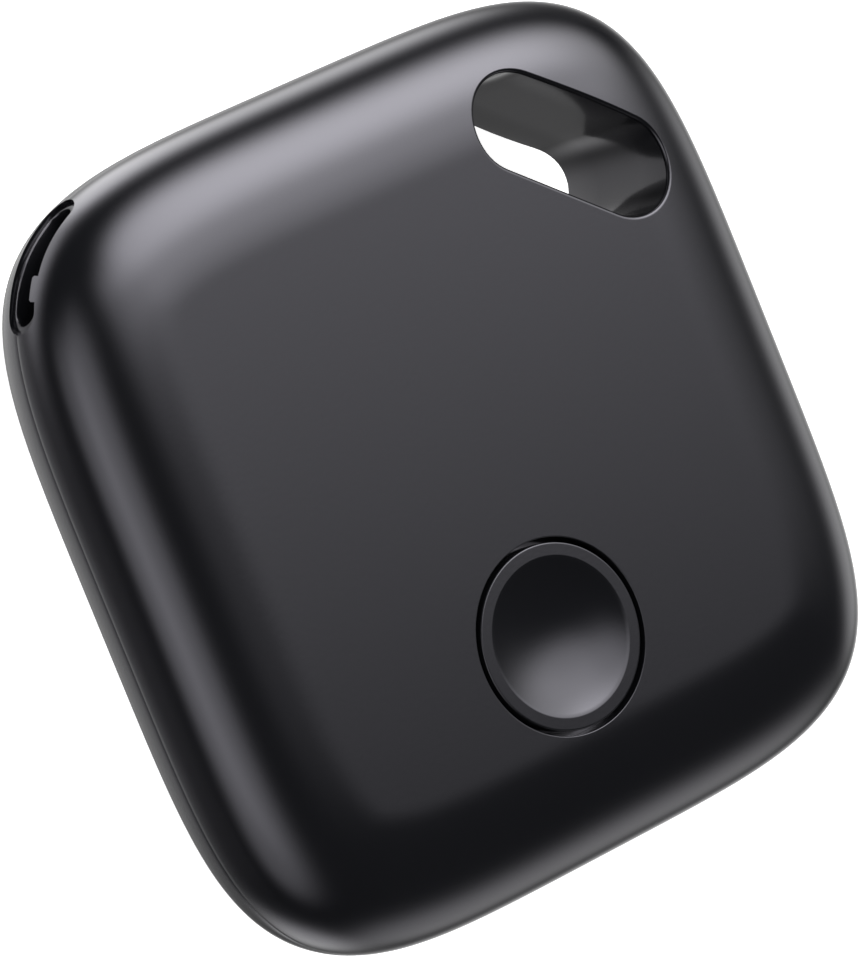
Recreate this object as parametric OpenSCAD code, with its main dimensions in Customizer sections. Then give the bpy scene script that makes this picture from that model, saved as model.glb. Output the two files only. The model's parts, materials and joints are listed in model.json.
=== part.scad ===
// Bluetooth tracker tag: a pillow-shaped square case with a key slot through one corner,
// a coin slot at the next corner, a round push button and a replaceable coin cell.
// The tag lies on its back: +Z leaves the front face, +Y points at the key slot's end.

/* [Case] */
// Width and height of the case
case_w = 39; // [38.5:0.1:39.5]
// Thickness of the case
case_t = 9.6; // [9.5:0.05:9.7]
// Height of the parting plane over the back
part_z = 5.7; // [5.65:0.05:5.75]
// Squareness of the outline: 2 is a circle, higher is squarer
outline_n = 4.52; // [4.4:0.01:4.6]
// Wall thickness
wall = 1.1; // [1.05:0.05:1.15]

/* [Front edge] */
// Width of the rounded border
front_inset = 6.6; // [6.4:0.05:6.6]
// Fullness of the rounded border: 2 is an ellipse, higher is fuller
front_p = 2.15; // [2.1:0.01:2.2]

/* [Back edge] */
// Width of the rounded border
back_inset = 6.4; // [6.3:0.05:6.45]
// Fullness of the rounded border
back_p = 2; // [1.95:0.05:2.05]

/* [Key slot] */
// Middle of the slot
slot_at = [10.95, 11.7];
// Direction of the slot in the XY plane
slot_turn = -40; // [-45:1:-38]
// Radius of the slot's round ends, which is half its width
slot_r = 2.38; // [2.3:0.02:2.4]
// Distance between the centres of the round ends
slot_run = 6.3; // [6:0.1:6.6]

/* [Coin slot] */
// Length of the slot along the corner
coin_len = 6.9; // [6.5:0.1:7]
// Height of the slot
coin_h = 1.95; // [1.85:0.05:2]
// Shift of the slot's middle along the corner
coin_y = -0.25; // [-0.3:0.05:0]
// Height of the slot's middle over the back
coin_z = 5.95; // [5.9:0.05:6]

/* [Button] */
// Middle of the button
button_at = [0, -8.8];
// Radius of the hole in the front cover
button_hole_r = 4.64; // [4.6:0.02:4.7]
// Radius of the button cap
button_r = 4.4; // [4.3:0.02:4.42]
// Radius of the finger dish in the cap
dish_r = 3.76; // [3.6:0.02:3.8]
// Depth of the finger dish
dish_depth = 0.6; // [0.5:0.05:0.65]

/* [Coin cell] */
// Middle of the cell
cell_at = [-1, -1.5];
// Diameter of the cell
cell_d = 20; // [19.9:0.05:20]
// Height of the cell
cell_h = 3.2; // [3.1:0.05:3.2]

/* [Hidden] */
$fn = 96;
big = 60;
half_w = case_w / 2;

front_h = case_t - part_z;
inner_top = case_t - wall;

// The parts' levels, from the back upwards.
cell_z = 1.5;
board_z = 5.2;
board_t = 0.8;
board_top = board_z + board_t;
lip_z = 4.4;
ledge_z = 4.0;
membrane_z = 7.35;
membrane_t = 0.3;

// Direction across the key slot, and the coin slot's place and steps.
slot_v = [-sin(slot_turn), cos(slot_turn)];
slot_wall = 0.8;
slot_gap = 0.1;
coin_turn = 135;
coin_reach = half_w * pow(2, 0.5 - 1 / outline_n);
coin_depth = 1.9;
coin_step = 0.25;
coin_back = 0.9;

screw_at = [[12.8, -12.8], [-12.8, -12.8], [-14, -2.5], [13.9, 1.2]];
collar_r = 6.8;
seal_r = 6.7;
screw_hole_r = 0.55;

// ---------- outline and edge tools ----------

// The outline is a superellipse. Its points follow the direction of the edge's normal, closer together
// where the outline turns, and d moves every point straight in along that normal.
octant_steps = 9;
octant = [for (i = [0 : octant_steps]) 45 * pow(i / octant_steps, 2)];
quarter = concat(octant, [for (i = [octant_steps - 1 : -1 : 1]) 90 - octant[i]]);
normals = [for (q = [0 : 90 : 270]) for (t = quarter) q + t];

function power(v, e) = sign(v) * pow(abs(v), e);
function outline_point(t, d) =
    let (x = power(cos(t), 1 / (outline_n - 1)), y = power(sin(t), 1 / (outline_n - 1)))
    let (k = half_w / pow(pow(abs(x), outline_n) + pow(abs(y), outline_n), 1 / outline_n))
    [k * x - d * cos(t), k * y - d * sin(t)];
function outline(d) = [for (t = normals) outline_point(t, d)];

// A straight-sided slab with the case's outline, moved in by d.
module slab(d, z0, z1) {
    translate([0, 0, z0]) linear_extrude(z1 - z0) polygon(outline(d));
}

// The slab with its coin-slot corner cut straight, so that what follows it passes behind the slot.
module cut_slab(d, z0, z1) {
    limit = coin_reach - coin_depth - coin_back + 1 - d;
    intersection() {
        slab(d, z0, z1);
        rotate(coin_turn) translate([limit - big, -big / 2, z0 - 1]) cube([big, big, z1 - z0 + 2]);
    }
}

module cut_ring(d0, d1, z0, z1) {
    difference() {
        cut_slab(d0, z0, z1);
        cut_slab(d1, z0 - 1, z1 + 1);
    }
}

// Joins closed rings of equal length, listed upwards, into one solid.
module loft(rings) {
    n = len(rings[0]);
    top = n * (len(rings) - 1);
    polyhedron(
        points = [for (r = rings) each r],
        faces = concat(
            [[for (i = [0 : n - 1]) i]],
            [[for (i = [n - 1 : -1 : 0]) top + i]],
            [for (k = [0 : len(rings) - 2]) for (i = [0 : n - 1])
                let (a = k * n + i, b = k * n + (i + 1) % n) each [[a, a + n, b], [b, a + n, b + n]]]
        )
    );
}

// Half of the case, from the parting plane to a flat face, moved in by d. A skirt runs past the plane.
edge_steps = 9;
function edge_rings(h, w, p, d, side) = [
    for (i = [0 : edge_steps])
        let (t = 90 * i / edge_steps)
        let (in = d + (w - d) * (1 - pow(cos(t), 2 / p)), z = part_z + side * (h - d) * pow(sin(t), 2 / p))
        [for (q = outline(in)) [q[0], q[1], z]]
];
function reversed(v) = [for (i = [len(v) - 1 : -1 : 0]) v[i]];

module front_half(d) {
    loft(edge_rings(front_h, front_inset, front_p, d, 1));
}

module back_half(d) {
    loft(reversed(edge_rings(part_z, back_inset, back_p, d, -1)));
}

// The hollow of each half, which runs past the parting plane.
module front_hollow() {
    front_half(wall);
    slab(wall, part_z - 1, part_z + 0.1);
}

module back_hollow() {
    back_half(wall);
    slab(wall, part_z - 0.1, part_z + 1);
}

// ---------- shapes that repeat ----------

module at(p, z = 0) {
    translate([p[0], p[1], z]) children();
}

module ring(r1, r0, h) {
    difference() {
        cylinder(r = r1, h = h);
        translate([0, 0, -1]) cylinder(r = r0, h = h + 2);
    }
}

module key_slot(r, z0, z1) {
    at(slot_at, z0) rotate(slot_turn) {
        for (s = [-1, 1]) translate([s * slot_run / 2, 0, 0]) cylinder(r = r, h = z1 - z0);
        translate([-slot_run / 2, -r, 0]) cube([slot_run, 2 * r, z1 - z0]);
    }
}

// A round-ended slot in the coin corner, from x0 outwards along the corner's direction.
module corner_slot(length, height, x0) {
    rotate(coin_turn) translate([x0, coin_y, coin_z]) rotate([0, 90, 0]) {
        for (s = [-1, 1]) translate([0, s * (length - height) / 2, 0]) cylinder(d = height, h = 8);
        translate([-height / 2, -(length - height) / 2, 0]) cube([height, length - height, 8]);
    }
}

module coin_cut() {
    difference() {
        corner_slot(coin_len, coin_h, coin_reach - coin_depth);
        children();
    }
    corner_slot(coin_len - 1, coin_h - 0.5, coin_reach - coin_depth);
}

// The region behind the coin slot that each cover fills.
module coin_block(z0, z1) {
    rotate(coin_turn) translate([coin_reach - coin_depth - coin_back, -big / 4, z0])
        cube([10, big / 2, z1 - z0]);
}

module box_at(p, size, z) {
    translate([p[0] - size[0] / 2, p[1] - size[1] / 2, z]) cube(size);
}

// ---------- covers ----------

module front_cover() {
    collar_z = membrane_z + membrane_t;
    tube_end = 0.05;
    tooth = [2, 1.2, 1];
    color("#17171b") difference() {
        union() {
            difference() {
                front_half(0);
                difference() {
                    front_hollow();
                    coin_block(part_z - 2, coin_z + coin_h / 2 + coin_back);
                }
            }
            cut_ring(1.35, 2.1, lip_z, part_z + 0.6);
            intersection() {
                front_half(0.5);
                union() {
                    cut_ring(0.6, 2.1, part_z, part_z + 0.6);
                    key_slot(slot_r + slot_wall, part_z, case_t);
                }
            }
            for (q = [0 : 90 : 270]) rotate(q)
                translate([half_w - 1.75, -2.5, lip_z + 0.4]) cube([0.45, 5, 0.3]);
            key_slot(slot_r + slot_wall, part_z - 1, part_z + 0.5);
            intersection() {
                key_slot(slot_r + slot_wall, 0, part_z - 0.5);
                back_half(tube_end);
            }
            at(button_at, collar_z) cylinder(r = collar_r, h = inner_top + 0.4 - collar_z);
            for (p = screw_at) at(p, board_top) cylinder(r = 1.5, h = inner_top + 0.3 - board_top);
        }
        key_slot(slot_r, -1, case_t + 1);
        difference() {
            coin_cut() front_half(coin_step);
            rotate(coin_turn) translate([coin_reach - 1.2, 0.6, coin_z + coin_h / 2 - 0.3]) cube(tooth);
        }
        at(button_at, membrane_z - 1) cylinder(r = 5.7, h = inner_top - membrane_z + 1);
        at(button_at, membrane_z - 1) cylinder(r = button_hole_r, h = 10);
        for (p = screw_at) at(p, board_top - 1) cylinder(r = screw_hole_r, h = 2.6);
    }
}

module back_cover() {
    color("#17171b") difference() {
        union() {
            difference() {
                back_half(0);
                difference() {
                    back_hollow();
                    coin_block(coin_z - coin_h / 2 - coin_back, part_z + 2);
                }
            }
            intersection() {
                back_half(0.5);
                cut_ring(0.6, 2.15, ledge_z - 0.5, ledge_z);
            }
            difference() {
                at(cell_at, wall - 0.3) ring(8.6, 7.8, 0.55);
                key_slot(slot_r + slot_wall + slot_gap, 0, 4);
            }
        }
        key_slot(slot_r + slot_wall + slot_gap, -1, part_z + 1);
        coin_cut() back_half(coin_step);
    }
}

module cover_gasket() {
    color("#3b3d42") cut_ring(1.5, 2.1, ledge_z, lip_z - 0.05);
}

module cell_pad() {
    color("#2b2b30") at(cell_at, wall) cylinder(r = 7.6, h = cell_z - wall - 0.02);
}

// ---------- button ----------

module button_cap() {
    flange_z = inner_top - 0.5;
    dish_sphere = (dish_r * dish_r + dish_depth * dish_depth) / (2 * dish_depth);
    soft = 0.18;
    color("#1c1c20") at(button_at) difference() {
        union() {
            translate([0, 0, flange_z]) cylinder(r = 5.3, h = 0.45);
            translate([0, 0, flange_z]) cylinder(r = button_r, h = case_t - flange_z - soft);
            translate([0, 0, flange_z]) cylinder(r = button_r - soft, h = case_t - flange_z);
            rotate_extrude() translate([button_r - soft, case_t - soft]) circle(soft);
            translate([0, 0, membrane_z + membrane_t + 0.01]) cylinder(r = 1.4, h = 1);
        }
        translate([0, 0, case_t + dish_sphere - dish_depth]) sphere(r = dish_sphere, $fn = 200);
    }
}

module membrane_ring() {
    color("#b9bcc2") at(button_at, membrane_z - 0.25) ring(seal_r, 5.8, 0.24);
}

module button_membrane() {
    color("#d6d6d2") at(button_at, membrane_z) {
        cylinder(r = seal_r, h = membrane_t - 0.01);
    }
}

module switch_plunger() {
    color("#2f2f33") at(button_at, board_top + 0.62) cylinder(r = 0.95, h = membrane_z - board_top - 0.63);
}

module switch_base() {
    color("#3a3a40") at(button_at, board_top) difference() {
        box_at([0, 0], [4.6, 4.6, 0.75], 0);
        translate([0, 0, 0.3]) cylinder(r = 1.7, h = 2);
    }
}

module switch_plate() {
    color("#c9ccd1") at(button_at, board_top + 0.75) {
        difference() {
            box_at([0, 0], [4.4, 4.4, 0.12], 0);
            translate([0, 0, -1]) cylinder(r = 1.15, h = 3);
        }
        for (s = [-1, 1]) box_at([s * 2.41, 0], [0.16, 2.2, 0.65], -0.65 + 0.12);
    }
}

// ---------- circuit board ----------

module circuit_board() {
    side = slot_at * slot_v - slot_r - slot_wall - 0.5;
    color("#1d5c3a") difference() {
        cut_slab(2.7, board_z, board_top);
        rotate(slot_turn + 90) translate([side, -big / 2, board_z - 1]) cube([big, big, 3]);
        for (p = screw_at) at(p, board_z - 1) cylinder(r = 0.8, h = 3);
    }
}

module board_screws() {
    head_h = 0.6;
    color("#b6b8bc") for (p = screw_at) at(p, board_z - head_h) difference() {
        union() {
            cylinder(r = 1.25, h = head_h);
            cylinder(r = screw_hole_r - 0.05, h = head_h + board_t + 1.4);
        }
        for (a = [0, 90]) rotate(a) box_at([0, 0], [1.4, 0.3, 0.9], -0.6);
    }
}

module radio_chip() {
    color("#222226") box_at([3.2, 2.6], [5, 5, 0.8], board_top);
}

module main_crystal() {
    color("#d0d2d6") box_at([-2.6, 0.2], [2.5, 2, 0.55], board_top);
}

module clock_crystal() {
    color("#d8d3c4") box_at([8.2, 2.4], [1.2, 2, 0.6], board_top);
}

module chip_antenna() {
    color("#e7e4dc") box_at([14.4, -7.4], [2, 5.2, 0.9], board_top);
}

capacitor_at = [
    [-0.2, 3.2], [-0.2, 1.8], [6.8, 5.2], [7.2, -1.2], [4.6, -1.4], [2.6, -1.4],
    [-6.4, -3.8], [-6.4, -5.2], [9.6, -4.6], [-9.6, -7.4]
];
module capacitors() {
    color("#b8935f") for (p = capacitor_at) box_at(p, [1, 0.5, 0.5], board_top);
}

resistor_at = [[-3.4, -2.6], [-1.8, -2.6], [7.4, -3.2], [9.6, -6.2], [-9.6, -9], [-8, -10.6], [8.6, -9.4]];
module resistors() {
    color("#26262a") for (p = resistor_at) box_at(p, [1, 0.5, 0.35], board_top);
}

inductor_at = [[11.2, -5.4], [11.2, -7.4], [9.8, -0.6]];
module rf_inductors() {
    color("#6a7f95") for (p = inductor_at) box_at(p, [1.2, 0.8, 0.8], board_top);
}

// ---------- sounder ----------

piezo_at = [-6.8, 6.2];
module piezo_foam_ring() {
    color("#2a2a2e") at(piezo_at, inner_top - 0.3) ring(6.5, 5.6, 0.3);
}

module piezo_plate() {
    color("#c8a24a") at(piezo_at, inner_top - 0.5) cylinder(r = 6.5, h = 0.2);
}

module piezo_ceramic() {
    color("#e4e0d6") at(piezo_at, inner_top - 0.7) cylinder(r = 4.5, h = 0.2);
}

module spring_finger(h, reach) {
    t = 0.15;
    box_at([0, 0], [1.2, 1, t], 0);
    translate([0.6 - t, -0.5, 0]) cube([t, 1, h]);
    translate([0.6 - reach, -0.5, h - t]) cube([reach, 1, t]);
}

module piezo_contacts() {
    color("#d8b45c") {
        at(piezo_at + [0, 0], board_top) spring_finger(inner_top - 0.7 - board_top, 1.6);
        at(piezo_at + [5.3, -0.6], board_top) spring_finger(inner_top - 0.5 - board_top, 1.2);
    }
}

// ---------- cell, holder and contacts ----------

plus_turn = 200;
module cell_holder() {
    r0 = cell_d / 2 + 0.15;
    color("#dedcd4") at(cell_at) difference() {
        union() {
            translate([0, 0, 2.6]) ring(r0 + 1, r0, board_z - 2.6);
            for (a = [20, 110, 290]) rotate(a) translate([r0 + 0.3, -1.2, board_z - 1.2]) cube([2.2, 2.4, 1.2]);
        }
        rotate(plus_turn) translate([0, -2, 0]) cube([20, 4, board_z + 1]);
        rotate(310) translate([0, -3.5, 0]) cube([20, 7, board_z - 1]);
    }
}

module positive_contact() {
    t = 0.2;
    r = cell_d / 2 + 0.05;
    color("#d9dade") at(cell_at) rotate(plus_turn) {
        translate([r, -1.6, 2.4]) cube([t, 3.2, board_z - 2.4]);
        translate([r, -1.6, board_z - t]) cube([1.6, 3.2, t]);
        translate([r + 0.7, -1.6, 2.2]) cube([t, 3.2, 1.4]);
        translate([r, -1.6, 2.2]) cube([0.9, 3.2, t]);
    }
}

module negative_contact() {
    t = 0.15;
    color("#d9dade") at(cell_at, board_z) {
        translate([0, 0, -t]) difference() {
            box_at([0, 0], [9, 9, t], 0);
            for (s = [-1, 1]) box_at([s * 1.6, 0], [0.5, 7, 1], -0.4);
        }
        for (s = [-1, 1]) box_at([s * 2.9, 0], [1.4, 6, t], cell_z + cell_h - board_z + 0.02);
        for (s = [-1, 1]) box_at([s * 2.9, 2.9], [1.4, 0.2, board_z - cell_z - cell_h - 0.02], cell_z + cell_h - board_z + 0.02);
    }
}

module cell_can() {
    soft = 0.25;
    r = cell_d / 2;
    h = cell_h - 0.3;
    color("#c4c7cb") at(cell_at, cell_z) difference() {
        union() {
            translate([0, 0, soft]) cylinder(r = r, h = h - soft);
            cylinder(r = r - soft, h = h);
            translate([0, 0, soft]) rotate_extrude() translate([r - soft, 0]) circle(soft);
        }
        translate([0, 0, 0.3]) cylinder(r = r - 0.35, h = 5);
    }
}

module cell_seal() {
    r = cell_d / 2 - 0.35;
    color("#3d4f63") at(cell_at, cell_z + 0.3) ring(r, r - 0.75, cell_h - 0.45);
}

module cell_cap() {
    r = cell_d / 2 - 1.1;
    soft = 0.25;
    color("#b9bcc1") at(cell_at, cell_z + 0.3) {
        cylinder(r = r, h = cell_h - 0.3 - soft);
        cylinder(r = r - soft, h = cell_h - 0.3);
        translate([0, 0, cell_h - 0.3 - soft]) rotate_extrude() translate([r - soft, 0]) circle(soft);
    }
}

front_cover();
back_cover();
cover_gasket();
cell_pad();
button_cap();
switch_plunger();
button_membrane();
membrane_ring();
circuit_board();
board_screws();
switch_base();
switch_plate();
radio_chip();
main_crystal();
clock_crystal();
chip_antenna();
capacitors();
resistors();
rf_inductors();
piezo_foam_ring();
piezo_plate();
piezo_ceramic();
piezo_contacts();
cell_holder();
negative_contact();
positive_contact();
cell_can();
cell_cap();
cell_seal();
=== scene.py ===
import json
import math

import bmesh
import bpy
import numpy as np
from mathutils import Matrix, Vector
from mathutils.geometry import delaunay_2d_cdt


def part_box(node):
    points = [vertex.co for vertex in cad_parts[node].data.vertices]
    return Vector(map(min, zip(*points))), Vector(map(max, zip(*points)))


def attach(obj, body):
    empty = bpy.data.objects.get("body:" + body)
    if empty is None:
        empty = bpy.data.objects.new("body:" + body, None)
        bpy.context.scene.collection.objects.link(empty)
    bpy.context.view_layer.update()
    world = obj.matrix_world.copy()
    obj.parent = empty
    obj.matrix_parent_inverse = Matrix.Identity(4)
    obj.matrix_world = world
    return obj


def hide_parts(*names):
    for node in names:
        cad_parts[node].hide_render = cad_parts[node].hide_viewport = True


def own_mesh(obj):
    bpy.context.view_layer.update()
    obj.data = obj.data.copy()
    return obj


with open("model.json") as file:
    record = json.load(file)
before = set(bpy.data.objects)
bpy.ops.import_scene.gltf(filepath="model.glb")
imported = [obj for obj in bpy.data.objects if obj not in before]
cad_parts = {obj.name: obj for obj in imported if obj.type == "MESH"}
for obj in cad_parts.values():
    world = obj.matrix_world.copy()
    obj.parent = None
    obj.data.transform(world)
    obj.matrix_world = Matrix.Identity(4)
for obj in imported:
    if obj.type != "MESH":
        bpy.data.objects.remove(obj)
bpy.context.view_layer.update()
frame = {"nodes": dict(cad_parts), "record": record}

nodes = frame["nodes"]

# ---------------------------------------------------------------- sizes, in mm
MM = 0.001


def box_mm(name):
    lo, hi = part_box(name)
    return np.array(lo) / MM, np.array(hi) / MM


_, front_hi = box_mm("front_cover")
back_lo, back_hi = box_mm("back_cover")
cap_lo, cap_hi = box_mm("button_cap")
membrane_lo, membrane_hi = box_mm("button_membrane")
_, board_hi = box_mm("circuit_board")

HALF = (back_hi[0] - back_lo[0]) / 2
TOP = front_hi[2]
SEAM = back_hi[2]
SQUARENESS = 4.52
FRONT_BORDER, FRONT_FULLNESS = 6.6, 2.15
BACK_BORDER, BACK_FULLNESS = 6.4, 2.0
WALL = 1.1
CEILING = TOP - WALL
BUTTON = np.array([(cap_lo[0] + cap_hi[0]) / 2, (cap_lo[1] + cap_hi[1]) / 2])
BUTTON_HOLE = 4.64
BUTTON_R = 4.4
DISH_R, DISH_DEPTH = 3.76, 0.6
POCKET_R = 5.7
COLLAR_R = 6.8
COLLAR_Z = membrane_hi[2]
SLOT_AT = np.array([10.95, 11.7])
SLOT_TURN = math.radians(-40)
SLOT_R, SLOT_RUN = 2.38, 6.3
TUBE_R, TUBE_GAP, TUBE_END = SLOT_R + 0.8, 0.1, 0.05
SLOT_EDGE = 0.2
SLOT_BACK_EDGE = 0.12
BUTTON_EDGE = 0.05
HOLE_EDGE = 0.05
SEAM_EDGE = 0.012
BOSS_R, BOSS_TOP_R, SCREW_HOLE_R, SCREW_HOLE_DEPTH = 1.5, 1.4, 0.55, 1.6
# Where the rings along each border end and the triangles over the flat begin.
FRONT_RINGS_END, BACK_RINGS_END, INNER_RINGS_END = 2.75, 2.8, 2.6
SCREWS = [(12.8, -12.8), (-12.8, -12.8), (-14.0, -2.5), (13.9, 1.2)]
COIN_LEN, COIN_H, COIN_Y, COIN_Z, COIN_STEP, COIN_DEPTH = 6.9, 1.95, -0.25, 5.95, 0.25, 1.9
TOOTH_Y, TOOTH_DROP = (0.6, 1.8), 0.3
COIN_DIR = np.array([-math.sqrt(0.5), math.sqrt(0.5)])
COIN_REACH = HALF * 2 ** (0.5 - 1 / SQUARENESS)
BLOCK_FACE = COIN_REACH - 2.8


def power(v, e):
    return np.sign(v) * np.abs(v) ** e


def outline(t, d=0.0):
    """Superellipse point whose outward normal has the angle t, moved in by d."""
    c, s = np.cos(t), np.sin(t)
    x, y = power(c, 1 / (SQUARENESS - 1)), power(s, 1 / (SQUARENESS - 1))
    k = HALF / (np.abs(x) ** SQUARENESS + np.abs(y) ** SQUARENESS) ** (1 / SQUARENESS)
    return np.stack([k * x - d * c, k * y - d * s], -1)


def normal_angles(per_quarter):
    """Angles that share the outline's length and its turning evenly."""
    t = np.radians(90) * np.linspace(0, 1, 6001)
    t = np.where(t < np.radians(45), np.radians(45) * (t / np.radians(45)) ** 4, t)
    t[t >= np.radians(45)] = np.radians(90) - t[: (t >= np.radians(45)).sum()][::-1]
    p = outline(t)
    run = np.concatenate([[0], np.cumsum(np.hypot(*np.diff(p, axis=0).T))])
    measure = run / run[-1] + t / t[-1]
    want = np.linspace(0, measure[-1], per_quarter + 1)[:-1]
    q = np.interp(want, measure, t)
    return np.concatenate([q + k * math.pi / 2 for k in range(4)])


def inset_of(p):
    """(normal angle, inset) of points inside the outline, by halving the quarter's range of angles."""
    p = np.asarray(p, float)
    q = np.abs(p)
    lo, hi = np.zeros(len(p)), np.full(len(p), math.pi / 2)
    for _ in range(44):
        t = (lo + hi) / 2
        gap = q - outline(t)
        ahead = gap[:, 1] * np.cos(t) - gap[:, 0] * np.sin(t) > 0
        lo, hi = np.where(ahead, t, lo), np.where(ahead, hi, t)
    d = -(gap[:, 0] * np.cos(t) + gap[:, 1] * np.sin(t))
    t = np.where(p[:, 0] < 0, math.pi - t, t)
    return np.where(p[:, 1] < 0, -t, t), d


class Half:
    """One half of the pillow: z grows from the seam to the flat over the border's width."""

    def __init__(self, side, height, width, fullness, d=0.0):
        self.side, self.h, self.w, self.p, self.d = side, height - d, width - d, fullness, d

    def inset(self, k):
        k = np.asarray(k, float)
        return self.d + self.w * (1 - np.cos(k * math.pi / 2) ** (2 / self.p))

    def z(self, inset):
        c = 1 - np.clip((np.asarray(inset) - self.d) / self.w, 0, 1)
        return SEAM + self.side * self.h * (1 - c ** self.p) ** (1 / self.p)

    def z_at(self, p):
        return self.z(inset_of(p)[1])

    def normal(self, p):
        t, i = inset_of(p)
        c = 1 - np.clip((i - self.d) / self.w, 1e-6, 1)
        slope = self.h / self.w * (1 - c ** self.p) ** (1 / self.p - 1) * c ** (self.p - 1)
        fade = np.clip(c / 0.3, 0, 1)
        slope = slope * fade * (2 - fade)
        n = np.stack([np.cos(t) * slope, np.sin(t) * slope, np.full(len(t), float(self.side))], -1)
        return n / np.linalg.norm(n, axis=1)[:, None]


FRONT, FRONT_IN = (Half(1, TOP - SEAM, FRONT_BORDER, FRONT_FULLNESS, d) for d in (0.0, WALL))
BACK, BACK_IN, BACK_END = (Half(-1, SEAM, BACK_BORDER, BACK_FULLNESS, d) for d in (0.0, WALL, TUBE_END))
AROUND = normal_angles(60)


# ---------------------------------------------------------------- mesh tools
class Patchwork:
    """Collects patches of points and faces in mm, and welds them into one mesh."""

    def __init__(self):
        self.points, self.faces = [], []

    def add(self, points, faces):
        base = len(self.points)
        self.points.extend([tuple(float(c) for c in p) for p in points])
        self.faces.extend([tuple(base + i for i in f) for f in faces])

    def rows(self, rows, flip=False):
        """Closed rows of equal length, skinned one to the next."""
        n = len(rows[0])
        faces = []
        for k in range(len(rows) - 1):
            for i in range(n):
                a, b = k * n + i, k * n + (i + 1) % n
                f = (a, b, b + n, a + n)
                faces.append(f[::-1] if flip else f)
        self.add([p for r in rows for p in r], faces)

    def cap(self, row, flip=False):
        f = tuple(range(len(row)))
        self.add(row, [f[::-1] if flip else f])

    def mesh(self, name, weld=2e-6):
        me = bpy.data.meshes.new(name)
        me.from_pydata([Vector(p) * MM for p in self.points], [], self.faces)
        bm = bmesh.new()
        bm.from_mesh(me)
        bmesh.ops.remove_doubles(bm, verts=bm.verts, dist=weld)
        bmesh.ops.dissolve_degenerate(bm, dist=weld / 4, edges=bm.edges)
        bmesh.ops.recalc_face_normals(bm, faces=bm.faces)
        bm.to_mesh(me)
        bm.free()
        return me


def stadium(r, steps=28):
    """Round-ended loop of the key slot, counter-clockwise."""
    u = np.array([math.cos(SLOT_TURN), math.sin(SLOT_TURN)])
    v = np.array([-u[1], u[0]])
    out = []
    for s, start in ((1, -math.pi / 2), (-1, math.pi / 2)):
        for a in np.linspace(start, start + math.pi, steps + 1):
            out.append(SLOT_AT + u * (s * SLOT_RUN / 2 + r * math.cos(a)) + v * r * math.sin(a))
        if s == 1:
            side = [SLOT_AT + v * r + u * SLOT_RUN * (0.5 - k / 8) for k in range(1, 8)]
        else:
            side = [SLOT_AT - v * r + u * SLOT_RUN * (k / 8 - 0.5) for k in range(1, 8)]
        out.extend(side)
    return np.array(out)


def circle(at, r, steps=72):
    a = np.linspace(0, 2 * math.pi, steps, endpoint=False)
    return np.array(at)[None] + r * np.stack([np.cos(a), np.sin(a)], -1)


def lift(loop, z):
    z = np.broadcast_to(z, (len(loop),))
    return np.column_stack([loop, z])


def in_stadium(p, r):
    u = np.array([math.cos(SLOT_TURN), math.sin(SLOT_TURN)])
    q = p - SLOT_AT
    along = np.clip(q @ u, -SLOT_RUN / 2, SLOT_RUN / 2)
    return np.hypot(*(q - along[:, None] * u).T) < r


def in_circle(at, r):
    return lambda p, m=0.0: np.hypot(*(p - np.array(at)).T) < r + m


def corner_cut(loop, limit):
    """Drops what lies past the line behind the coin slot onto that line."""
    past = np.maximum(loop @ COIN_DIR - limit, 0)
    return loop - past[:, None] * COIN_DIR


def even(level, step):
    """The outline moved in by level, as points a step apart."""
    loop = outline(np.linspace(0, 2 * math.pi, 4000, endpoint=False), level)
    run = np.concatenate([[0], np.cumsum(np.hypot(*np.diff(loop, axis=0, append=loop[:1]).T))])
    want = np.linspace(0, run[-1], int(run[-1] / step), endpoint=False)
    closed = np.vstack([loop, loop[:1]])
    return np.column_stack([np.interp(want, run, closed[:, k]) for k in (0, 1)])


def sheet(rim, holes, inside, levels):
    """Flat triangles between a rim loop and hole loops. Returns points and faces."""
    pts = [rim] + [h for h in holes]
    edges, base = [], 0
    for loop in pts:
        n = len(loop)
        edges += [(base + i, base + (i + 1) % n) for i in range(n)]
        base += n
    extra = [even(level, 0.45) for level in levels]
    grid = np.stack(np.meshgrid(np.arange(-15, 15.1, 1.5), np.arange(-15, 15.1, 1.5)), -1).reshape(-1, 2)
    grid = grid + np.array([0.013, 0.017])
    _, d = inset_of(grid)
    extra.append(grid[d > levels[-1] + 0.3])
    extra = np.concatenate(extra)
    keep = ~np.any([f(extra, 0.2) for f in inside], axis=0)
    extra = extra[keep]
    flat = np.concatenate(pts + [extra])
    v, _, f, _, _, _ = delaunay_2d_cdt([Vector(p) for p in flat], edges, [], 0, 1e-7)
    v = np.array([tuple(p) for p in v])
    f = [tuple(t) for t in f]
    mid = np.array([v[list(t)].mean(0) for t in f])
    gone = np.any([g(mid, 0.0) for g in inside], axis=0)
    return v, [t for t, x in zip(f, gone) if not x]


def on_surface(work, half, rim_level, holes, inside, levels, rim=None, rim_z=None):
    """Adds the sheet that closes a half's rings, with its points on the half's surface."""
    rim = outline(AROUND, rim_level) if rim is None else rim
    v, f = sheet(rim, holes, inside, levels)
    z = half.z_at(v)
    if rim_z is not None:
        near = np.array([np.hypot(*(rim - p).T).min() for p in v]) < 1e-4
        z = np.where(near, rim_z, z)
    work.add(np.column_stack([v, z]), f)


def stadium_hole(r):
    return lambda p, m=0.0: in_stadium(p, r + m)


def behind_block(p, m=0.0):
    """Past the inner face of the coin slot's block, with some room when a margin is asked for."""
    return p @ COIN_DIR > BLOCK_FACE - (0.3 if m else -0.01)


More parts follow.
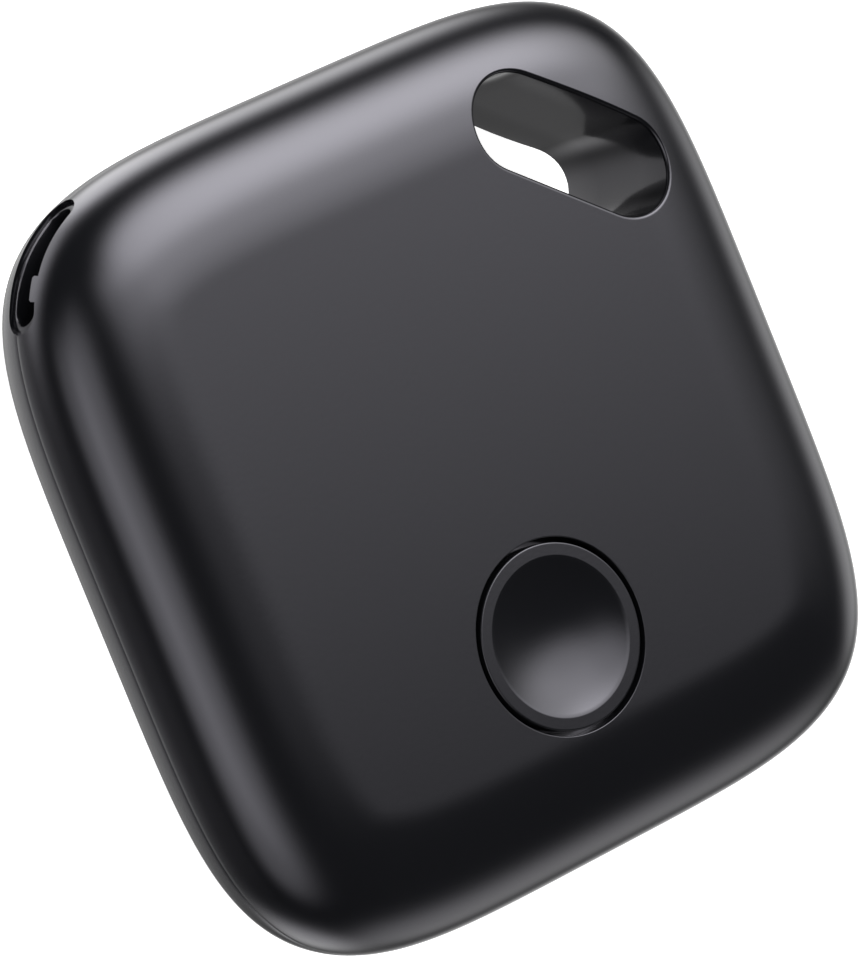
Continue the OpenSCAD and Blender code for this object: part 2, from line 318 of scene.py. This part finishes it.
# ---------------------------------------------------------------- finishes
def material(name, base, rough, metal=0.0, grain=1400.0, bump=0.02, vary=0.12, stretch=(1, 1, 1),
             rough_vary=0.08, coat=0.0, spec=0.5, second=None, patch=90.0, trans=0.0, tint=(1, 1, 1)):
    """Layered noise drives colour, roughness and bump on a principled shader."""
    m = bpy.data.materials.new(name)
    m.use_nodes = True
    t = m.node_tree
    n, link = t.nodes, t.links
    n.clear()
    out = n.new("ShaderNodeOutputMaterial")
    s = n.new("ShaderNodeBsdfPrincipled")
    link.new(s.outputs["BSDF"], out.inputs["Surface"])
    where = n.new("ShaderNodeTexCoord")
    scale = n.new("ShaderNodeMapping")
    scale.inputs["Scale"].default_value = stretch
    link.new(where.outputs["Object"], scale.inputs["Vector"])
    fine = n.new("ShaderNodeTexNoise")
    fine.inputs["Scale"].default_value = grain
    fine.inputs["Detail"].default_value = 4
    broad = n.new("ShaderNodeTexNoise")
    broad.inputs["Scale"].default_value = patch
    broad.inputs["Detail"].default_value = 3
    for x in (fine, broad):
        link.new(scale.outputs["Vector"], x.inputs["Vector"])
    tone = n.new("ShaderNodeMix")
    tone.data_type = "RGBA"
    dark = tuple(c * (1 - vary) for c in base) + (1,)
    light = tuple(min(1, c * (1 + vary)) for c in (second or base)) + (1,)
    tone.inputs["A"].default_value, tone.inputs["B"].default_value = dark, light
    link.new(broad.outputs["Fac"], tone.inputs["Factor"])
    link.new(tone.outputs["Result"], s.inputs["Base Color"])
    gloss = n.new("ShaderNodeMapRange")
    gloss.inputs["To Min"].default_value = max(0.02, rough - rough_vary)
    gloss.inputs["To Max"].default_value = rough + rough_vary
    link.new(fine.outputs["Fac"], gloss.inputs["Value"])
    link.new(gloss.outputs["Result"], s.inputs["Roughness"])
    relief = n.new("ShaderNodeBump")
    relief.inputs["Strength"].default_value = bump
    relief.inputs["Distance"].default_value = 0.00005
    link.new(fine.outputs["Fac"], relief.inputs["Height"])
    link.new(relief.outputs["Normal"], s.inputs["Normal"])
    s.inputs["Metallic"].default_value = metal
    s.inputs["Coat Weight"].default_value = coat
    s.inputs["Coat Roughness"].default_value = 0.12
    s.inputs["Specular IOR Level"].default_value = spec
    s.inputs["Specular Tint"].default_value = tint + (1,)
    s.inputs["Transmission Weight"].default_value = trans
    return m


def glossy_black(name):
    """Moulded black plastic with a fine, nearly smooth surface."""
    return material(name, (0.0045, 0.0047, 0.0056), 0.14, grain=5200, bump=0.02, vary=0.10,
                    rough_vary=0.02, tint=(0.92, 0.90, 1.0))


FINISH = {
    "case_plastic": glossy_black("case_black"),
    "button_plastic": glossy_black("button_black"),
    "switch_plastic": material("switch_black", (0.02, 0.02, 0.022), 0.5, grain=2600, bump=0.1),
    "gasket_rubber": material("gasket_rubber", (0.03, 0.032, 0.035), 0.62, grain=2000, bump=0.15),
    "foam": material("closed_foam", (0.035, 0.035, 0.038), 0.92, grain=3200, bump=0.8, vary=0.35, spec=0.2),
    "silicone": material("cloudy_silicone", (0.66, 0.66, 0.63), 0.45, grain=900, bump=0.05, trans=0.25),
    "adhesive": material("adhesive_film", (0.5, 0.51, 0.53), 0.6, grain=1500, bump=0.1),
    "screw_steel": material("screw_steel", (0.55, 0.56, 0.58), 0.28, 1.0, grain=2500, bump=0.08),
    "spring_steel": material("spring_steel", (0.62, 0.63, 0.64), 0.24, 1.0, grain=1800, bump=0.06,
                             stretch=(1, 8, 1)),
    "chip_epoxy": material("chip_epoxy", (0.018, 0.018, 0.02), 0.55, grain=3800, bump=0.25),
    "crystal_metal": material("crystal_can", (0.62, 0.61, 0.58), 0.3, 1.0, grain=2200, bump=0.06,
                              stretch=(6, 1, 1)),
    "ceramic_white": material("white_ceramic", (0.74, 0.72, 0.67), 0.55, grain=2600, bump=0.12),
    "capacitor_ceramic": material("capacitor_tan", (0.36, 0.24, 0.13), 0.5, grain=2600, bump=0.12),
    "resistor_ceramic": material("resistor_black", (0.02, 0.02, 0.024), 0.3, grain=2600, bump=0.08),
    "inductor_ceramic": material("inductor_blue", (0.12, 0.18, 0.26), 0.45, grain=2600, bump=0.12),
    "piezo_brass": material("brass_disc", (0.66, 0.46, 0.19), 0.3, 1.0, grain=1500, bump=0.08,
                            stretch=(1, 10, 1)),
    "contact_gold": material("gold_plate", (0.8, 0.58, 0.24), 0.22, 1.0, grain=1800, bump=0.05),
    "holder_plastic": material("holder_ivory", (0.66, 0.64, 0.58), 0.45, grain=2200, bump=0.08, vary=0.05),
    "cell_steel": material("cell_steel", (0.6, 0.61, 0.63), 0.3, 1.0, grain=3000, bump=0.03, vary=0.05,
                           rough_vary=0.05),
    "cell_seal_plastic": material("cell_seal", (0.05, 0.08, 0.13), 0.4, grain=2000, bump=0.08),
}


def printed_board():
    """Solder mask over copper: tracks in blocks that run one way or the other, and plated holes whose bores
    are painted near black as painted shade.
    """
    m = material("solder_mask", (0.010, 0.085, 0.038), 0.32, grain=1100, bump=0.04, vary=0.2, coat=0.4)
    n, link = m.node_tree.nodes, m.node_tree.links
    shader = n["Principled BSDF"]
    where = next(x for x in n if x.type == "TEX_COORD").outputs["Object"]

    def calc(op, *values):
        x = n.new("ShaderNodeMath")
        x.operation = op
        for i, v in enumerate(values):
            if isinstance(v, (int, float)):
                x.inputs[i].default_value = v
            else:
                link.new(v, x.inputs[i])
        return x.outputs[0]

    def cells(scale, feature="F1", metric="CHEBYCHEV"):
        x = n.new("ShaderNodeTexVoronoi")
        x.feature, x.distance = feature, metric
        x.inputs["Scale"].default_value = scale
        link.new(where, x.inputs["Vector"])
        return x

    split = n.new("ShaderNodeSeparateXYZ")
    link.new(where, split.inputs[0])
    block = cells(230)
    pick = n.new("ShaderNodeSeparateColor")
    link.new(block.outputs["Color"], pick.inputs[0])

    def lines(axis):
        wave = calc("FRACT", calc("MULTIPLY", split.outputs[axis], 1700.0))
        return calc("LESS_THAN", wave, 0.42)

    across = calc("GREATER_THAN", pick.outputs[0], 0.5)
    tracks = calc("ADD", calc("MULTIPLY", lines(0), across),
                  calc("MULTIPLY", lines(1), calc("SUBTRACT", 1.0, across)))
    tracks = calc("MULTIPLY", tracks, calc("GREATER_THAN", pick.outputs[1], 0.35))
    tracks = calc("MULTIPLY", tracks, calc("LESS_THAN", block.outputs["Distance"], 0.46))
    hole = cells(420, metric="EUCLIDEAN")
    rim = calc("LESS_THAN", hole.outputs["Distance"], 0.13)
    # The bore of each plated hole is a disc painted near black: painted shade standing in for the dark inside
    # of a hole.
    bore = calc("LESS_THAN", hole.outputs["Distance"], 0.06)
    plated = calc("MULTIPLY", rim, calc("SUBTRACT", 1.0, bore))
    ground = shader.inputs["Base Color"].links[0].from_socket

    def mix(factor, under, over):
        x = n.new("ShaderNodeMix")
        x.data_type = "RGBA"
        link.new(factor, x.inputs["Factor"])
        link.new(under, x.inputs["A"])
        x.inputs["B"].default_value = over
        return x.outputs["Result"]

    colour = mix(tracks, ground, (0.022, 0.17, 0.062, 1))
    colour = mix(plated, colour, (0.78, 0.60, 0.30, 1))
    # Painted shade: the bore of each plated hole is coloured near black.
    colour = mix(bore, colour, (0.004, 0.005, 0.004, 1))
    link.new(colour, shader.inputs["Base Color"])
    link.new(plated, shader.inputs["Metallic"])
    relief = shader.inputs["Normal"].links[0].from_node
    raised = n.new("ShaderNodeBump")
    raised.inputs["Strength"].default_value = 0.5
    raised.inputs["Distance"].default_value = 0.00003
    link.new(calc("SUBTRACT", calc("ADD", tracks, plated), bore), raised.inputs["Height"])
    link.new(relief.outputs["Normal"], raised.inputs["Normal"])
    link.new(raised.outputs["Normal"], shader.inputs["Normal"])
    return m


FINISH["board_laminate"] = printed_board()


def piece(name, me, body, cad, slot_name, analytic=None, sharp=40):
    """A finished object that stands for a CAD node, with the exact normals of the halves it lies on."""
    ob = bpy.data.objects.new(name, me)
    bpy.context.scene.collection.objects.link(ob)
    me.materials.clear()
    me.materials.append(FINISH[slot_name])
    me.polygons.foreach_set("use_smooth", [True] * len(me.polygons))
    me.set_sharp_from_angle(angle=math.radians(sharp))
    if analytic:
        corner = np.zeros(len(me.loops) * 3)
        me.corner_normals.foreach_get("vector", corner)
        corner = corner.reshape(-1, 3)
        co = np.zeros(len(me.vertices) * 3)
        me.vertices.foreach_get("co", co)
        co = co.reshape(-1, 3) / MM
        loop_v = np.zeros(len(me.loops), int)
        me.loops.foreach_get("vertex_index", loop_v)
        for half in analytic:
            _, d = inset_of(co[:, :2])
            ok = (d > -0.01) & (np.abs(half.z(d) - co[:, 2]) < 2e-3)
            want = half.normal(co[:, :2])
            agree = (corner * want[loop_v]).sum(1) > 0.9
            pick = ok[loop_v] & agree
            corner[pick] = want[loop_v][pick]
        me.normals_split_custom_set(corner.tolist())
    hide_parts(cad)
    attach(ob, body)
    return ob


def face_x(y, z):
    """How far out the case's surface lies at points (y, z) seen along the coin slot's direction."""
    side = np.array([-COIN_DIR[1], COIN_DIR[0]])
    half_h = np.where(z > SEAM, FRONT.h, BACK.h)
    full = np.where(z > SEAM, FRONT.p, BACK.p)
    wide = np.where(z > SEAM, FRONT.w, BACK.w)
    inset = wide * (1 - (1 - (np.abs(z - SEAM) / half_h) ** full) ** (1 / full))
    lo, hi = np.full(len(y), 12.0), np.full(len(y), 26.0)
    for _ in range(24):
        x = (lo + hi) / 2
        p = x[:, None] * COIN_DIR + y[:, None] * side
        outside = (np.abs(p) ** SQUARENESS).sum(1) > HALF ** SQUARENESS
        beyond = outside | (inset_of(p)[1] < inset)
        hi, lo = np.where(beyond, x, hi), np.where(beyond, lo, x)
    return x


def coin_cutter():
    """The coin slot's recess as one closed solid: a ledge that follows the case, then a narrower slot."""
    side = np.array([-COIN_DIR[1], COIN_DIR[0]])

    def loop(shrink, x, steps=13, lines=10):
        length, height = COIN_LEN - shrink * 2, COIN_H - shrink
        r, out = height / 2, []
        for s, start in ((1, -math.pi / 2), (-1, math.pi / 2)):
            for a in np.linspace(start, start + math.pi, steps):
                out.append((s * (length - height) / 2 + r * math.cos(a), r * math.sin(a)))
            for k in range(1, lines):
                out.append((s * (length - height) * (0.5 - k / lines), s * r))
        out = np.array(out)
        y, z = out[:, 0] + COIN_Y, out[:, 1] + COIN_Z
        reach = np.full(len(y), x) if x > 8 else face_x(y, z) - x
        p = reach[:, None] * COIN_DIR + y[:, None] * side
        return np.column_stack([p, z])

    work = Patchwork()
    rows = [loop(0.5, COIN_REACH - COIN_DEPTH), loop(0.5, COIN_STEP + 0.10), loop(0.46, COIN_STEP + 0.03)]
    rows += [loop(0.38, COIN_STEP), loop(0.0, COIN_STEP), loop(0.0, COIN_REACH + 2)]
    work.rows(rows)
    work.cap(rows[0], True)
    work.cap(rows[-1])
    ob = bpy.data.objects.new("cutter", work.mesh("cutter"))
    bpy.context.scene.collection.objects.link(ob)
    return ob


def carve(me, cutter):
    """The mesh less the cutter's volume, as a new mesh."""
    ob = bpy.data.objects.new("carved", me)
    bpy.context.scene.collection.objects.link(ob)
    mod = ob.modifiers.new("cut", "BOOLEAN")
    mod.operation, mod.solver, mod.object = "DIFFERENCE", "EXACT", cutter
    deps = bpy.context.evaluated_depsgraph_get()
    out = bpy.data.meshes.new_from_object(ob.evaluated_get(deps))
    bpy.data.objects.remove(ob)
    return out


def join_meshes(name, *parts):
    bm = bmesh.new()
    for p in parts:
        bm.from_mesh(p)
    me = bpy.data.meshes.new(name)
    bm.to_mesh(me)
    bm.free()
    return me


def fillet_rows(loop_of, r0, f, z_of, steps=5):
    """Rows that round a hole's edge from the surface at r0 + f down to the wall at r0."""
    rows = []
    for k in range(steps + 1):
        a = k / steps * math.pi / 2
        loop = loop_of(r0 + f * (1 - math.sin(a)))
        rows.append(lift(loop, z_of(loop_of(r0 + f)) - f * (1 - math.cos(a)) * z_of.side))
    return rows


class Height:
    """A half's height at each point of a loop, with the side that the half lies on."""

    def __init__(self, half):
        self.half, self.side = half, half.side

    def __call__(self, loop):
        return self.half.z_at(loop)


def band(z0, z1, d0, d1, soft, limit=None):
    """A closed ring with a soft-cornered section, between insets d0 and d1."""
    work = Patchwork()
    section = [
        (d0 + soft, z0), (d0, z0 + soft), (d0, z1 - soft), (d0 + soft, z1),
        (d1 - soft, z1), (d1, z1 - soft), (d1, z0 + soft), (d1 - soft, z0),
    ]
    rows = []
    for d, z in section + section[:1]:
        loop = outline(AROUND, d)
        if limit is not None:
            loop = corner_cut(loop, limit - d)
        rows.append(lift(loop, z))
    work.rows(rows)
    return work.mesh("band")


def front_mesh():
    """The front cover: border and face, key slot tube, button pocket and collar, bosses, inner wall."""
    work = Patchwork()
    soft = SEAM_EDGE
    rows = [lift(outline(AROUND, soft), SEAM), lift(outline(AROUND, soft * 0.3), SEAM + soft * 0.3)]
    rows.append(lift(outline(AROUND, 0.0005), SEAM + soft))
    for k in np.linspace(0.0, 1.0, 33)[1:]:
        i = float(FRONT.inset(k))
        if FRONT.z(i) <= SEAM + soft * 1.5:
            continue
        if i > FRONT_RINGS_END:
            break
        rows.append(lift(outline(AROUND, i), FRONT.z(i)))
        rim = i
    work.rows(rows)
    high = Height(FRONT)
    holes = [stadium(SLOT_R + SLOT_EDGE), circle(BUTTON, BUTTON_HOLE + BUTTON_EDGE, 96)]
    inside = [stadium_hole(SLOT_R + SLOT_EDGE), in_circle(BUTTON, BUTTON_HOLE + BUTTON_EDGE)]
    levels = [3.1, 3.5, 3.9, 4.3, 4.7, 5.05, 5.4, 5.7, 6.0, 6.3, 6.6, 7.0]
    on_surface(work, FRONT, rim, holes, inside, [x for x in levels if x > rim + 0.15])
    slot_rows = fillet_rows(stadium, SLOT_R, SLOT_EDGE, high, 7)
    slot_rows += [lift(stadium(SLOT_R), z) for z in (SEAM + 1.4, SEAM, 3.4)]
    end = Height(BACK_END)
    slot_rows += fillet_rows(stadium, SLOT_R, SLOT_BACK_EDGE, end)[::-1]
    slot_rows.append(lift(stadium(TUBE_R), end(stadium(TUBE_R))))
    slot_rows.append(lift(stadium(TUBE_R), Height(FRONT_IN)(stadium(TUBE_R))))
    work.rows(slot_rows)

    def ring(r):
        return circle(BUTTON, r, 96)

    rows = fillet_rows(ring, BUTTON_HOLE, BUTTON_EDGE, high)
    ceiling = Height(FRONT_IN)
    rows += [lift(ring(r), np.minimum(ceiling(ring(r)), CEILING)) for r in (BUTTON_HOLE, POCKET_R)]
    collar = ring(COLLAR_R)
    rows += [lift(ring(POCKET_R), COLLAR_Z), lift(collar, COLLAR_Z), lift(collar, ceiling(collar))]
    work.rows(rows)
    bosses = []
    for at in SCREWS:
        boss, top, bore = (circle(at, r, 36) for r in (BOSS_R, BOSS_TOP_R, SCREW_HOLE_R))
        bosses.append(boss)
        rows = [lift(boss, ceiling(boss)), lift(boss, board_hi[2] + 0.1), lift(top, board_hi[2])]
        rows += [lift(bore, board_hi[2]), lift(bore, board_hi[2] + SCREW_HOLE_DEPTH)]
        work.rows(rows)
        work.cap(rows[-1])
    inner_rows = [lift(outline(AROUND, soft), SEAM)]
    for k in np.linspace(0.0, 1.0, 21):
        i = float(FRONT_IN.inset(k))
        if i > INNER_RINGS_END:
            break
        inner_rows.append(lift(corner_cut(outline(AROUND, i), BLOCK_FACE), FRONT_IN.z(i)))
        rim, rim_z = i, float(FRONT_IN.z(i))
    work.rows(inner_rows)
    holes = [stadium(TUBE_R), ring(COLLAR_R)] + bosses
    inside = [stadium_hole(TUBE_R), in_circle(BUTTON, COLLAR_R)] + [in_circle(at, BOSS_R) for at in SCREWS]
    inside.append(behind_block)
    on_surface(work, FRONT_IN, rim, holes, inside, [rim + 0.4, 3.4, 4.0, 4.6, 5.2, 5.9, 6.6, 7.2],
               rim=corner_cut(outline(AROUND, rim), BLOCK_FACE), rim_z=rim_z)
    return work.mesh("front_shell")


def back_mesh():
    """The back cover: border and face, the hole that the key slot's tube enters, inner wall."""
    work = Patchwork()
    soft = SEAM_EDGE
    rows = [lift(outline(AROUND, soft), SEAM), lift(outline(AROUND, soft * 0.3), SEAM - soft * 0.3)]
    rows.append(lift(outline(AROUND, 0.0005), SEAM - soft))
    for k in np.linspace(0.0, 1.0, 27)[1:]:
        i = float(BACK.inset(k))
        if BACK.z(i) >= SEAM - soft * 1.5:
            continue
        if i > BACK_RINGS_END:
            break
        rows.append(lift(outline(AROUND, i), BACK.z(i)))
        rim = i
    work.rows(rows)
    hole = TUBE_R + TUBE_GAP
    on_surface(work, BACK, rim, [stadium(hole + HOLE_EDGE)], [stadium_hole(hole + HOLE_EDGE)],
               [rim + 0.35, 3.4, 3.8, 4.2, 4.7, 5.2, 5.8, 6.4, 7.0])
    rows = fillet_rows(stadium, hole, HOLE_EDGE, Height(BACK), 3)
    rows.append(lift(stadium(hole), Height(BACK_IN)(stadium(hole))))
    work.rows(rows)
    inner_rows = [lift(outline(AROUND, soft), SEAM)]
    for k in np.linspace(0.0, 1.0, 17):
        i = float(BACK_IN.inset(k))
        if i > INNER_RINGS_END:
            break
        inner_rows.append(lift(corner_cut(outline(AROUND, i), BLOCK_FACE), BACK_IN.z(i)))
        rim, rim_z = i, float(BACK_IN.z(i))
    work.rows(inner_rows)
    inside = [stadium_hole(hole), behind_block]
    on_surface(work, BACK_IN, rim, [stadium(hole)], inside, [rim + 0.4, 3.4, 4.0, 4.6, 5.4, 6.4],
               rim=corner_cut(outline(AROUND, rim), BLOCK_FACE), rim_z=rim_z)
    return work.mesh("back_shell")


def lathe(name, profile, at, steps=128):
    """Revolves (radius, z) points, first and last on the axis, into a closed mesh."""
    work = Patchwork()
    work.rows([lift(circle(at, r, steps), z) for r, z in profile if r > 1e-6])
    first, last = profile[0], profile[-1]
    inner = [p for p in profile if p[0] > 1e-6]
    for tip, edge in ((first, inner[0]), (last, inner[-1])):
        ring = lift(circle(at, edge[0], steps), edge[1])
        pts = [tuple(p) for p in ring] + [(at[0], at[1], tip[1])]
        work.add(pts, [(i, (i + 1) % steps, steps) for i in range(steps)])
    return work.mesh(name)


def cap_mesh():
    """The push button: a foot, a flange that holds it in, and a dished top with a crisp lip."""
    soft, flange_z = 0.08, cap_hi[2] - TOP + CEILING - 0.5
    top = cap_hi[2]
    sphere = (DISH_R ** 2 + DISH_DEPTH ** 2) / (2 * DISH_DEPTH)
    low = cap_lo[2]
    prof = [(0, low), (1.3, low), (1.4, low + 0.1), (1.4, flange_z), (5.2, flange_z), (5.3, flange_z + 0.08),
            (5.3, flange_z + 0.37), (5.22, flange_z + 0.45), (BUTTON_R, flange_z + 0.45)]
    for k in range(9):
        a = k / 8 * math.pi / 2
        prof.append((BUTTON_R - soft + soft * math.cos(a), top - soft + soft * math.sin(a)))
    prof += [(r, top) for r in (BUTTON_R - soft - 0.02, DISH_R + 0.05, DISH_R + 0.03)]
    prof.append((DISH_R + 0.01, top - 0.003))
    for k in range(28):
        r = (DISH_R - 0.02) * (1 - k / 28)
        z = top + sphere - DISH_DEPTH - math.sqrt(sphere ** 2 - r ** 2)
        prof.append((r, z))
    prof.append((0, top - DISH_DEPTH))
    return lathe("button_cap_mesh", prof, BUTTON)


def membrane_mesh():
    """The rubber seal under the button: a clamped rim, a thin web and the pad that the button presses."""
    low, top = membrane_lo[2], membrane_hi[2]
    web, rim, soft = low + 0.12, (membrane_hi[0] - membrane_lo[0]) / 2, 0.06
    prof = [(0, low), (rim - soft, low), (rim, low + soft), (rim, top - soft), (rim - soft, top),
            (POCKET_R + 0.05, top), (POCKET_R - 0.15, web), (2.1, web), (1.9, top), (0, top)]
    return lathe("membrane_mesh", prof, BUTTON)


def tooth_block():
    """What the coin slot leaves standing at its front lip, as a block through the wall."""
    side = np.array([-COIN_DIR[1], COIN_DIR[0]])
    low, soft = COIN_Z + COIN_H / 2 - TOOTH_DROP, 0.08
    section = [(TOOTH_Y[0] + soft, low), (TOOTH_Y[1] - soft, low), (TOOTH_Y[1], low + soft),
               (TOOTH_Y[1], low + 1), (TOOTH_Y[0], low + 1), (TOOTH_Y[0], low + soft)]
    work = Patchwork()
    rows = []
    for x in (COIN_REACH - 1.2, COIN_REACH + 2):
        flat = [COIN_DIR * x + side * y for y, z in section]
        rows.append(np.array([(p[0], p[1], z) for p, (y, z) in zip(flat, section)]))
    work.rows(rows)
    work.cap(rows[0], True)
    work.cap(rows[-1])
    ob = bpy.data.objects.new("tooth", work.mesh("tooth"))
    bpy.context.scene.collection.objects.link(ob)
    return ob


cutter, tooth = coin_cutter(), tooth_block()
notched = bpy.data.objects.new("notched", carve(cutter.data, tooth))
bpy.context.scene.collection.objects.link(notched)
band_limit = COIN_REACH - 1.8
lip = band(4.4, SEAM + 0.15, 1.35, 2.1, 0.06, band_limit)
lip_root = band(SEAM + 0.02, SEAM + 0.6, 0.9, 2.1, 0.05, band_limit)
gasket_shelf = band(3.5, 4.0, 0.9, 2.15, 0.05, band_limit)
front = join_meshes("front_cover_mesh", carve(front_mesh(), notched), lip, lip_root)
back = join_meshes("back_cover_mesh", carve(back_mesh(), cutter), gasket_shelf)
for ob in (cutter, tooth, notched):
    bpy.data.objects.remove(ob)
piece("front_shell", front, "housing", "front_cover", "case_plastic", [FRONT])
piece("back_shell", back, "cover", "back_cover", "case_plastic", [BACK])
piece("push_button", cap_mesh(), "button", "button_cap", "button_plastic", sharp=45)
seal = piece("rubber_membrane", membrane_mesh(), "housing", "button_membrane", "silicone")
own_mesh(seal)

replaced = {"front_cover", "back_cover", "button_cap", "button_membrane"}
# Edge softening of the pieces that keep their CAD mesh, in mm.
SOFT_EDGES = {
    "cell_can": 0.12, "cell_cap": 0.12, "cell_holder": 0.12, "main_crystal": 0.12, "clock_crystal": 0.10,
    "chip_antenna": 0.05, "radio_chip": 0.03, "capacitors": 0.04, "resistors": 0.03, "rf_inductors": 0.04,
    "switch_base": 0.04, "switch_plunger": 0.08, "negative_contact": 0.03, "positive_contact": 0.03,
    "piezo_plate": 0.02, "piezo_ceramic": 0.02, "piezo_contacts": 0.03, "board_screws": 0.05,
    "circuit_board": 0.04, "cell_pad": 0.15, "piezo_foam_ring": 0.1, "cover_gasket": 0.08,
}
slots = {p["node"]: p["material_slot"] for p in frame["record"]["subparts"]}
for name, ob in nodes.items():
    if name in replaced:
        continue
    ob.data.materials.clear()
    ob.data.materials.append(FINISH[slots[name]])
    if name in SOFT_EDGES:
        weld = ob.modifiers.new("weld", "WELD")
        weld.merge_threshold = 1e-6
        soften = ob.modifiers.new("edges", "BEVEL")
        soften.width, soften.segments = SOFT_EDGES[name] * MM, 2
        soften.limit_method, soften.angle_limit = "ANGLE", math.radians(50)
        soften.use_clamp_overlap = True
        soften.harden_normals = True

# ---------------------------------------------------------------- floor, light and camera
floor_mesh = bpy.data.meshes.new("floor")
R = 3.0
floor_mesh.from_pydata([(-R, -R, 0), (R, -R, 0), (R, R, 0), (-R, R, 0)], [], [(0, 1, 2, 3)])
floor = bpy.data.objects.new("floor", floor_mesh)
bpy.context.scene.collection.objects.link(floor)
pale = material("pale_floor", (0.93, 0.93, 0.93), 0.9, grain=60, bump=0.0, vary=0.01, spec=0.1)
glow = pale.node_tree.nodes["Principled BSDF"]
glow.inputs["Emission Color"].default_value = (1, 1, 1, 1)
glow.inputs["Emission Strength"].default_value = 0.92
floor_mesh.materials.append(pale)
floor.visible_glossy = False

# Soft boxes round the object: azimuth and elevation of the middle, turn, half width and height, strength.
SOFT_BOXES = [
    (52.5, 47.5, -15, 0.40, 0.32, 7.4),
    (30.0, 32.5, 5, 0.34, 0.40, 3.9),
    (7.5, 57.5, 80, 0.17, 0.38, 2.9),
    (-150.0, 37.5, 20, 0.29, 0.35, 1.45),
    (177.5, 37.5, -60, 0.34, 0.24, 1.4),
    (180.0, 55.0, -75, 0.40, 0.24, 1.9),
    (-105.0, -30.0, -85, 0.34, 0.42, 2.6),
    (70.0, -22.5, 70, 0.32, 0.37, 5.9),
    (-15.0, -45.0, -80, 0.48, 0.30, 1.1),
    (-67.5, -2.5, -15, 0.36, 0.42, 1.5),
    (-12.5, -7.5, 5, 0.27, 0.30, 1.35),
    (130.0, -70.0, 115, 0.72, 0.48, 1.0),
    (80.0, 75.0, 35, 0.31, 0.17, 1.3),
    (117.5, -17.5, 0, 0.33, 0.60, 3.8),
    (40.0, -57.5, 0, 0.25, 0.16, 0.45),
]
BOX_GAIN = 1.27
ROOM_LIGHT = 0.05


def facing(azimuth, elevation, turn):
    """Axes whose third one points from the object in a direction, turned about it. Angles in degrees."""
    around = Matrix.Rotation(math.radians(azimuth), 3, "Z")
    down = Matrix.Rotation(math.radians(90 - elevation), 3, "Y")
    return around @ down @ Matrix.Rotation(math.radians(turn), 3, "Z")


def studio(boxes, gain, base):
    """A dark room with soft-edged light boxes, as one procedural world."""
    w = bpy.data.worlds.new("studio")
    w.use_nodes = True
    n, link = w.node_tree.nodes, w.node_tree.links
    n.clear()
    out, back = n.new("ShaderNodeOutputWorld"), n.new("ShaderNodeBackground")
    link.new(back.outputs["Background"], out.inputs["Surface"])
    where = n.new("ShaderNodeTexCoord")

    def math_node(op, a, b=None):
        x = n.new("ShaderNodeMath")
        x.operation = op
        for i, v in enumerate((a, b)):
            if v is None:
                continue
            if isinstance(v, (int, float)):
                x.inputs[i].default_value = v
            else:
                link.new(v, x.inputs[i])
        return x.outputs[0]

    total = None
    for azimuth, elevation, turn, half_w, half_h, strength in boxes:
        aim = n.new("ShaderNodeMapping")
        aim.vector_type = "TEXTURE"
        aim.inputs["Rotation"].default_value = facing(azimuth, elevation, turn).to_euler("XYZ")
        aim.inputs["Scale"].default_value = (half_w, half_h, 1)
        link.new(where.outputs["Generated"], aim.inputs["Vector"])
        flat = n.new("ShaderNodeVectorMath")
        flat.operation = "MULTIPLY"
        flat.inputs[1].default_value = (1, 1, 0)
        link.new(aim.outputs["Vector"], flat.inputs[0])
        far = n.new("ShaderNodeVectorMath")
        far.operation = "LENGTH"
        link.new(flat.outputs["Vector"], far.inputs[0])
        split = n.new("ShaderNodeSeparateXYZ")
        link.new(aim.outputs["Vector"], split.inputs["Vector"])
        fall = math_node("EXPONENT", math_node("MULTIPLY", math_node("POWER", far.outputs["Value"], 3), -1.0))
        lit = math_node("MULTIPLY", fall, math_node("GREATER_THAN", split.outputs["Z"], 0.0))
        lit = math_node("MULTIPLY", lit, gain * strength)
        total = lit if total is None else math_node("ADD", total, lit)
    link.new(math_node("ADD", total, base), back.inputs["Strength"])
    return w


bpy.context.scene.world = studio(SOFT_BOXES, BOX_GAIN, ROOM_LIGHT)

# Camera: where it stands as seen from the object, in degrees and mm, and how far it slides left and down.
CAMERA_AXES = facing(168.89, 57.26, 167.32)
RIGHT, UP, BACKWARD = (CAMERA_AXES.col[k].copy() for k in range(3))
DISTANCE, LEFTWARD, DOWNWARD = 333.325, 0.6258, 0.4269
FOCAL_LENGTH = 268.807
centre = Vector((0, 0, SEAM))
eye = (centre - RIGHT * LEFTWARD - UP * DOWNWARD + BACKWARD * DISTANCE) * MM


def lamp(name, toward, distance, width, height, watts, colour=(1, 1, 1)):
    """A soft box that faces the object from a direction given in the camera's own axes."""
    d = (RIGHT * toward[0] + UP * toward[1] + BACKWARD * toward[2]).normalized()
    light = bpy.data.lights.new(name, "AREA")
    light.shape, light.size, light.size_y = "RECTANGLE", width, height
    light.energy, light.color = watts, colour
    ob = bpy.data.objects.new(name, light)
    ob.location = centre * MM + d * distance
    ob.rotation_mode = "QUATERNION"
    ob.rotation_quaternion = d.to_track_quat("Z", "Y")
    bpy.context.scene.collection.objects.link(ob)
    return ob


lamp("top", (0.0, 0.3, 0.9), 0.9, 0.5, 0.5, 0.02)

camera = bpy.data.cameras.new("camera")
camera.lens_unit, camera.sensor_fit = "MILLIMETERS", "AUTO"
camera.sensor_width = 36
camera.lens = FOCAL_LENGTH
camera.clip_start, camera.clip_end = 0.01, 10
cam = bpy.data.objects.new("camera", camera)
cam.matrix_world = Matrix.Translation(eye) @ CAMERA_AXES.to_4x4()
bpy.context.scene.collection.objects.link(cam)
bpy.context.scene.camera = cam
bpy.context.scene.view_settings.view_transform = "Standard"
